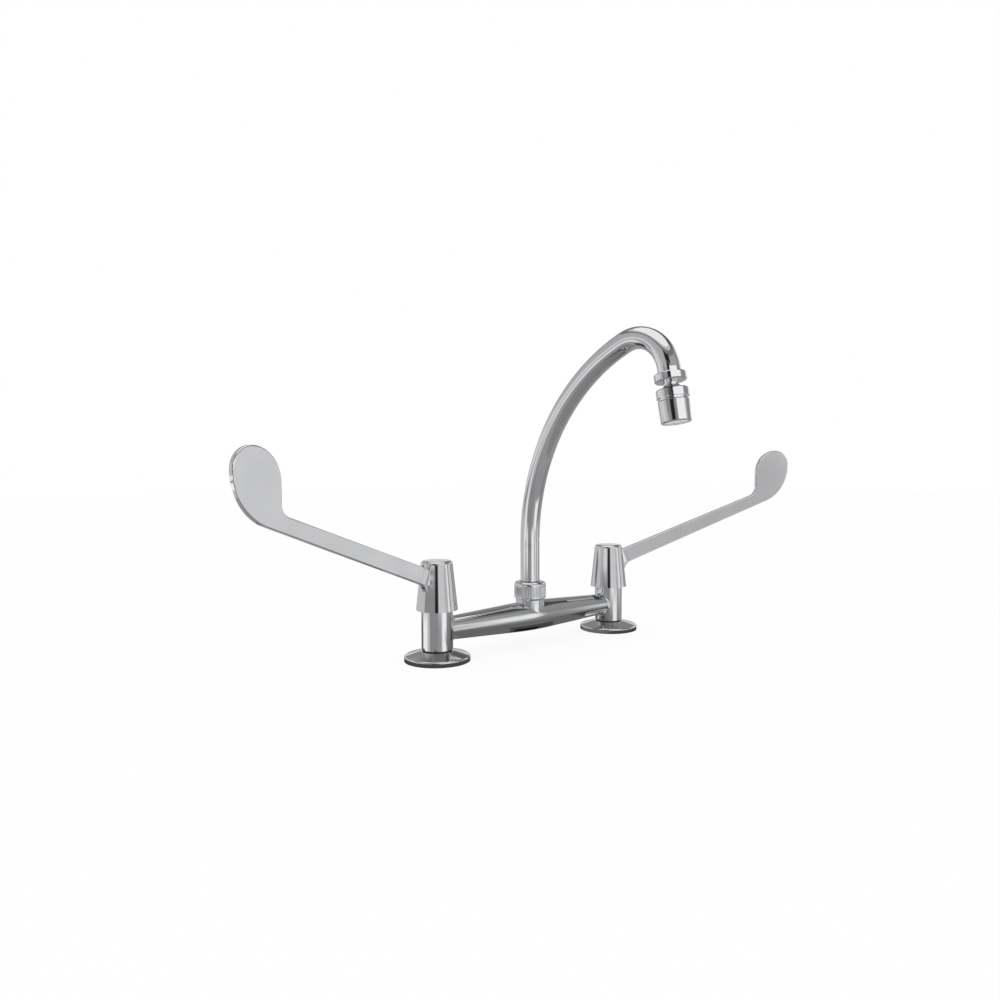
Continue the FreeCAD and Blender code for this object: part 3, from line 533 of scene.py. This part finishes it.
@dataclass(frozen=True)
class Camera:
    """The camera that took the photograph, fitted to the flanges, posts, levers and spout."""

    place: Point = (-0.458128, -0.541205, 0.16127)
    turn: float = -38.094
    tilt: float = 2.626
    roll: float = -0.243
    focal: float = 0.794075
    sensor: float = 36.0
    near: float = 0.01

    @property
    def bearing(self) -> float:
        """Direction of the camera as seen from the tap, in degrees."""
        return math.degrees(math.atan2(self.place[1], self.place[0]))

    def set_up(self) -> bpy.types.Object:
        """Place the camera and make it the scene's own.

        Returns:
            The camera object.
        """
        turn, tilt, roll = (math.radians(a) for a in (self.turn, self.tilt, self.roll))
        back = Vector((math.sin(turn) * math.cos(tilt), -math.cos(turn) * math.cos(tilt), math.sin(tilt)))
        level = Vector((math.cos(turn), math.sin(turn), 0.0))
        upright = back.cross(level)
        right = level * math.cos(roll) + upright * math.sin(roll)
        up = upright * math.cos(roll) - level * math.sin(roll)
        data = bpy.data.cameras.new("photo_camera")
        data.sensor_fit = "HORIZONTAL"
        data.sensor_width = self.sensor
        data.lens = self.sensor * self.focal
        data.clip_start = self.near
        obj = bpy.data.objects.new("photo_camera", data)
        turned_axes = Matrix((right, up, back)).transposed().to_4x4()
        obj.matrix_world = Matrix.Translation(Vector(self.place)) @ turned_axes
        bpy.context.scene.collection.objects.link(obj)
        bpy.context.scene.camera = obj
        return obj


def seen_rays(tree: bpy.types.NodeTree) -> bpy.types.NodeSocket:
    """Tell rays that show a surface from rays that only light others with it.

    Args:
        tree: Node tree of the material or the world.

    Returns:
        A socket that is 1 for camera, glossy and transmission rays and 0 for others.
    """
    path = tree.nodes.new("ShaderNodeLightPath")
    seen = path.outputs["Is Camera Ray"]
    for kind in ("Is Glossy Ray", "Is Transmission Ray"):
        either = tree.nodes.new("ShaderNodeMath")
        either.operation = "MAXIMUM"
        tree.links.new(seen, either.inputs[0])
        tree.links.new(path.outputs[kind], either.inputs[1])
        seen = either.outputs["Value"]
    return seen


# Distance between stacked cards, steps in degrees, steps of a round hole, slack at the edge of a painted
# shade sheet
CARD_GAP = 0.003
CARD_STEP = 4
SHEET_STEP = 6
HOLE_STEPS = 48
EDGE_SLACK = 1e-6


@dataclass(frozen=True)
class Card:
    """A curved studio card on the far wall round the tap, a softbox or a flag, with soft edges.

    Angles are degrees from the camera's side, positive to the right of the picture.
    """

    name: str
    start: float
    end: float
    low: float
    high: float
    level: float
    feather: float = 4.0
    fade: float = 0.05
    reach: float = 1.5

    def hang(self, bearing: float, layer: int) -> bpy.types.Object:
        """Hang the card at its place.

        Args:
            bearing: Direction of the camera, which the card's angles count from.
            layer: Number of the card in the stack, so that no two lie in one surface.

        Returns:
            The card.
        """
        half = self.feather / 2
        reach = self.reach + CARD_GAP * layer
        span = self.end - self.start - self.feather
        inner = max(1, math.ceil(span / CARD_STEP))
        turns = [self.start - half]
        turns += [self.start + half + span * i / inner for i in range(inner + 1)]
        turns += [self.end + half]
        rows = [self.low - self.fade, self.low + self.fade, self.high - self.fade, self.high + self.fade]
        verts: list[Point] = []
        cover: list[float] = []
        for i, turn in enumerate(turns):
            angle = math.radians(bearing + turn)
            for j, height in enumerate(rows):
                verts.append((reach * math.cos(angle), reach * math.sin(angle), height))
                cover.append(float(0 < i < len(turns) - 1 and 0 < j < len(rows) - 1))
        count = len(rows)
        corners = [count * i + j for i in range(len(turns) - 1) for j in range(count - 1)]
        faces = [(k, k + 1, k + count + 1, k + count) for k in corners]
        return metal_only(mesh_object(self.name, verts, faces, crease=60.0), self.level, cover)


@dataclass(frozen=True)
class Sheet:
    """A level studio sheet over or under the tap, round or a sector."""

    name: str
    start: float
    end: float
    height: float
    level: float
    reach: float = 1.85

    def hang(self, bearing: float) -> bpy.types.Object:
        """Hang the sheet at its place.

        Args:
            bearing: Direction of the camera, which the sheet's angles count from.

        Returns:
            The sheet.
        """
        steps = max(2, math.ceil((self.end - self.start) / SHEET_STEP))
        verts: list[Point] = [(0.0, 0.0, self.height)]
        for i in range(steps + 1):
            angle = math.radians(bearing + self.start + (self.end - self.start) * i / steps)
            verts.append((self.reach * math.cos(angle), self.reach * math.sin(angle), self.height))
        obj = mesh_object(self.name, verts, [(0, i + 1, i + 2) for i in range(steps)], crease=60.0)
        return metal_only(obj, self.level, [1.0] * len(verts))


def level_plate(name: str, low: tuple[float, float], high: tuple[float, float], height: float,
                holes: Sequence[tuple[float, float]]) -> bpy.types.Object:
    """Make a level oblong plate with round holes.

    Args:
        name: Name of the object.
        low: Corner with the lowest X and Y.
        high: Corner with the highest X and Y.
        height: Height of the plate.
        holes: Place along X and radius of each hole, all centred at Y = 0.

    Returns:
        The new object.
    """
    loops = [[low, (high[0], low[1]), high, (low[0], high[1])]]
    turns = [math.tau * i / HOLE_STEPS for i in range(HOLE_STEPS)]
    loops += [[(x + radius * math.cos(a), radius * math.sin(a)) for a in turns] for x, radius in holes]
    shell = bmesh.new()
    edges = []
    for loop in loops:
        ring = [shell.verts.new((x, y, height)) for x, y in loop]
        edges += [shell.edges.new((ring[i - 1], ring[i])) for i in range(len(ring))]
    bmesh.ops.triangle_fill(shell, use_beauty=True, edges=edges, normal=(0, 0, 1))
    mesh = bpy.data.meshes.new(name)
    shell.to_mesh(mesh)
    shell.free()
    obj = bpy.data.objects.new(name, mesh)
    bpy.context.scene.collection.objects.link(obj)
    return obj


@dataclass(frozen=True)
class ShadePlate:
    """A dark level sheet just under the deck's face below the tap, which only reflections show: painted shade
    of the deck under the tap.
    """

    name: str
    low: tuple[float, float]
    high: tuple[float, float]
    height: float
    level: float
    soft_front: bool = False

    def lay(self) -> bpy.types.Object:
        """Lay the painted shade sheet at its place.

        Returns:
            The sheet.
        """
        obj = level_plate(self.name, self.low, self.high, self.height, ())
        front = self.low[1] if self.soft_front else -math.inf
        cover = [float(v.co.y > front + EDGE_SLACK) for v in obj.data.vertices]
        return metal_only(obj, self.level, cover)


def metal_only(obj: bpy.types.Object, level: float, cover: Sequence[float]) -> bpy.types.Object:
    """Make a studio card of one brightness that only mirror reflections show.

    Args:
        obj: The card.
        level: Its brightness, where 1 is white.
        cover: How solid the card is at each corner point, from 0 to 1.

    Returns:
        The card.
    """
    obj.data.attributes.new("cover", "FLOAT", "POINT").data.foreach_set("value", cover)
    mat = bpy.data.materials.new(f"{obj.name}_glow")
    mat.use_nodes = True
    tree = mat.node_tree
    tree.nodes.remove(tree.nodes["Principled BSDF"])
    glow = tree.nodes.new("ShaderNodeEmission")
    glow.inputs["Color"].default_value = (level, level, level, 1.0)
    clear = tree.nodes.new("ShaderNodeBsdfTransparent")
    soft = tree.nodes.new("ShaderNodeAttribute")
    soft.attribute_name = "cover"
    mix = tree.nodes.new("ShaderNodeMixShader")
    tree.links.new(soft.outputs["Fac"], mix.inputs["Fac"])
    tree.links.new(clear.outputs["BSDF"], mix.inputs[1])
    tree.links.new(glow.outputs["Emission"], mix.inputs[2])
    tree.links.new(mix.outputs["Shader"], tree.nodes["Material Output"].inputs["Surface"])
    obj.data.materials.append(mat)
    obj.visible_camera = False
    obj.visible_diffuse = False
    obj.visible_transmission = False
    obj.visible_shadow = False
    return obj


@dataclass
class Studio:
    """The pale deck, the cards, the light and the white surroundings."""

    camera: Camera
    deck_half: float = 4.0
    hole_r: float = 0.0130
    deck_tone: Colour = (0.97, 0.97, 0.97)
    deck_rough: float = 0.9
    deck_white: float = 0.88
    ambient: float = 0.93
    lamp_size: float = 1.2
    lamp_power: float = 2.5
    lamp_place: Point = (-0.35, -0.25, 1.6)
    lamp_aim: Point = (0.0, -0.05, 0.05)
    # First and last angle, lower and upper edge, and level of each card; an earlier card hangs in front
    cards: tuple[Card, ...] = (
        Card("camera_dark", -7.0, 10.0, -0.06, 0.30, 0.02, fade=0.03),
        Card("camera_dark_upper", -33.0, -7.0, 0.36, 0.60, 0.02, fade=0.03),
        Card("camera_dark_top", -22.0, -2.0, 0.60, 0.95, 0.01),
        Card("camera_dark_over", -28.0, 12.0, 0.95, 1.50, 0.02),
        Card("left_edge_flag", -140.0, -116.0, -0.90, -0.24, 0.06, fade=0.03),
        Card("post_softbox_left", -106.0, -67.0, -0.45, -0.23, 1.10, feather=14.0, fade=0.03),
        Card("nut_flag", -125.0, -28.0, -0.205, -0.175, 0.22, fade=0.01),
        Card("riser_softbox", -76.0, -26.0, -0.15, -0.02, 0.98, feather=6.0, fade=0.02),
        Card("hub_flag", -111.0, -94.0, 0.04, 0.13, 0.12, fade=0.02),
        Card("outlet_softbox_left", -134.0, -82.0, 0.14, 0.42, 0.78, feather=8.0, fade=0.03),
        Card("left_low", -152.0, -62.0, -0.70, 0.62, 0.60),
        Card("left_high", -152.0, -32.0, 0.62, 1.50, 0.50),
        Card("hub_softbox", -60.0, -14.0, 0.178, 0.30, 0.80, fade=0.012),
        Card("left_front_low", -62.0, -48.0, -0.60, -0.15, 0.60),
        Card("front_left", -62.0, 12.0, -0.60, 0.62, 0.30),
        Card("front_floor", -60.0, 60.0, -1.50, -0.60, 0.35),
        Card("post_softbox_right", 38.0, 74.0, -0.60, -0.22, 1.05, feather=14.0, fade=0.03),
        Card("right_mid_softbox", 24.0, 46.0, -0.22, -0.05, 1.05, fade=0.03),
        Card("outlet_softbox_right", -2.0, 68.0, 0.44, 0.92, 1.10, feather=6.0),
        Card("bridge_softbox", 69.0, 81.0, -0.12, 0.38, 1.00, feather=5.0),
        Card("right_grey", 50.0, 71.0, -0.13, 0.20, 0.54, feather=3.0),
        Card("right_wall", 10.0, 80.0, -0.24, 0.62, 0.70),
        Card("right_high", 12.0, 80.0, 0.92, 1.50, 0.42),
        Card("far_softbox", 90.0, 114.0, -0.22, 0.30, 0.73),
        Card("far_low", 80.0, 112.0, -0.90, -0.05, 0.28),
        Card("far_wall", 76.0, 122.0, 0.30, 0.76, 0.30),
        Card("far_high", 80.0, 122.0, 0.76, 1.50, 0.32),
        Card("back_right_wall", 122.0, 142.0, 0.10, 1.00, 1.10),
        Card("back_low", 144.0, 206.0, 0.12, 0.42, 0.70),
        Card("back_high", 144.0, 206.0, 0.42, 1.50, 0.26),
        Card("front_tent", -137.0, 137.0, -1.50, 1.50, 0.36, feather=2.0, fade=0.02, reach=1.70),
        Card("back_tent", 133.0, 227.0, -1.50, 1.50, 0.36, feather=2.0, fade=0.02, reach=1.70),
    )
    sheets: tuple[Sheet, ...] = (
        Sheet("under", -180.0, 180.0, -1.55, 0.27),
        Sheet("zenith_softbox", -180.0, 180.0, 1.540, 1.05, 0.90),
        Sheet("ceiling_light", -150.0, 96.0, 1.545, 0.60, 1.15),
        Sheet("ceiling_flag", 96.0, 158.0, 1.550, 0.08),
        Sheet("ceiling", -180.0, 180.0, 1.555, 0.22),
    )
    # Dark sheets under the tap's footprint: painted shade of the deck under the tap, which only the metal's
    # reflections show
    shade_plates: tuple[ShadePlate, ...] = (
        ShadePlate("base_shade_pad", (-0.145, -0.045), (0.145, 0.045), -0.0005, 0.16),
        ShadePlate("flange_shade_pad_left", (-0.145, -0.045), (-0.075, 0.045), -0.0004, 0.07),
        ShadePlate("flange_shade_pad_right", (0.075, -0.045), (0.145, 0.045), -0.0004, 0.07),
        ShadePlate("shade_pad_lip", (-0.062, -0.140), (0.085, -0.045), -0.0005, 0.22, soft_front=True),
        ShadePlate("pad_shade", (-0.018, -0.019), (0.036, 0.010), -0.0004, 0.07),
        ShadePlate("shade_pad_spot", (-0.012, -0.009), (0.016, 0.006), -0.0003, 0.01),
    )

    def build(self) -> list[bpy.types.Object]:
        """Make the deck and the cards, and set the light.

        Returns:
            The stage objects.
        """
        pieces = [self._deck()]
        pieces += [plate.lay() for plate in self.shade_plates]
        pieces += [card.hang(self.camera.bearing, layer) for layer, card in enumerate(self.cards)]
        pieces += [sheet.hang(self.camera.bearing) for sheet in self.sheets]
        self._surroundings()
        self._lamp()
        bpy.context.scene.view_settings.view_transform = "Standard"
        return pieces

    def _deck(self) -> bpy.types.Object:
        """Make the deck with the two holes that the shanks pass through.

        Returns:
            The deck.
        """
        half = self.deck_half
        holes = [(side.sign * POST_PITCH / 2, self.hole_r) for side in Side]
        obj = level_plate("deck", (-half, -half), (half, half), 0.0, holes)
        obj.data.materials.append(self._deck_paint())
        obj.visible_glossy = False
        return obj

    def _deck_paint(self) -> bpy.types.Material:
        """Make the deck's paint: white where it is seen, with the tap's shadow kept.

        Returns:
            The paint.
        """
        mat = bpy.data.materials.new("deck_paint")
        mat.use_nodes = True
        tree = mat.node_tree
        shader = tree.nodes["Principled BSDF"]
        shader.inputs["Base Color"].default_value = (*self.deck_tone, 1.0)
        shader.inputs["Roughness"].default_value = self.deck_rough
        shader.inputs["Specular IOR Level"].default_value = 0.0
        glow = tree.nodes.new("ShaderNodeEmission")
        share = tree.nodes.new("ShaderNodeMath")
        share.operation = "MULTIPLY"
        share.inputs[1].default_value = self.deck_white
        mix = tree.nodes.new("ShaderNodeMixShader")
        tree.links.new(seen_rays(tree), share.inputs[0])
        tree.links.new(share.outputs["Value"], mix.inputs["Fac"])
        tree.links.new(shader.outputs["BSDF"], mix.inputs[1])
        tree.links.new(glow.outputs["Emission"], mix.inputs[2])
        tree.links.new(mix.outputs["Shader"], tree.nodes["Material Output"].inputs["Surface"])
        return mat

    def _surroundings(self) -> None:
        """Make the surroundings white where they are seen, and a little dimmer where they only light."""
        world = bpy.data.worlds.new("white_studio")
        bpy.context.scene.world = world
        world.use_nodes = True
        tree = world.node_tree
        back = tree.nodes["Background"]
        back.inputs["Color"].default_value = (1.0, 1.0, 1.0, 1.0)
        span = tree.nodes.new("ShaderNodeMapRange")
        span.inputs["To Min"].default_value = self.ambient
        span.inputs["To Max"].default_value = 1.0
        tree.links.new(seen_rays(tree), span.inputs["Value"])
        tree.links.new(span.outputs["Result"], back.inputs["Strength"])

    def _lamp(self) -> None:
        """Hang one large soft lamp over the tap."""
        data = bpy.data.lights.new("overhead", "AREA")
        data.shape = "DISK"
        data.size = self.lamp_size
        data.energy = self.lamp_power
        obj = bpy.data.objects.new("overhead", data)
        obj.location = self.lamp_place
        aim = Vector(self.lamp_aim) - obj.location
        obj.rotation_euler = aim.to_track_quat("-Z", "Y").to_euler()
        obj.visible_glossy = False
        bpy.context.scene.collection.objects.link(obj)


def main() -> None:
    """Build and dress each sub-assembly, then set up the studio and the camera."""
    logging.basicConfig(level=logging.INFO, format="%(name)s: %(message)s")
    camera = Camera()
    camera.set_up()
    for side in Side:
        fixing = DeckFixing(side)
        for piece in fixing.build():
            LOG.info("built %s", piece.name)
        fixing.dress()
        LeverHandle(side).dress()
        LOG.info("dressed the %s half", side.value)
    foot = SpoutFoot()
    for piece in foot.build():
        LOG.info("built %s", piece.name)
    foot.dress()
    Outlet().dress()
    LOG.info("dressed the spout and the outlet")
    for piece in Studio(camera).build():
        LOG.info("staged %s", piece.name)


if __name__ == "__main__":
    main()
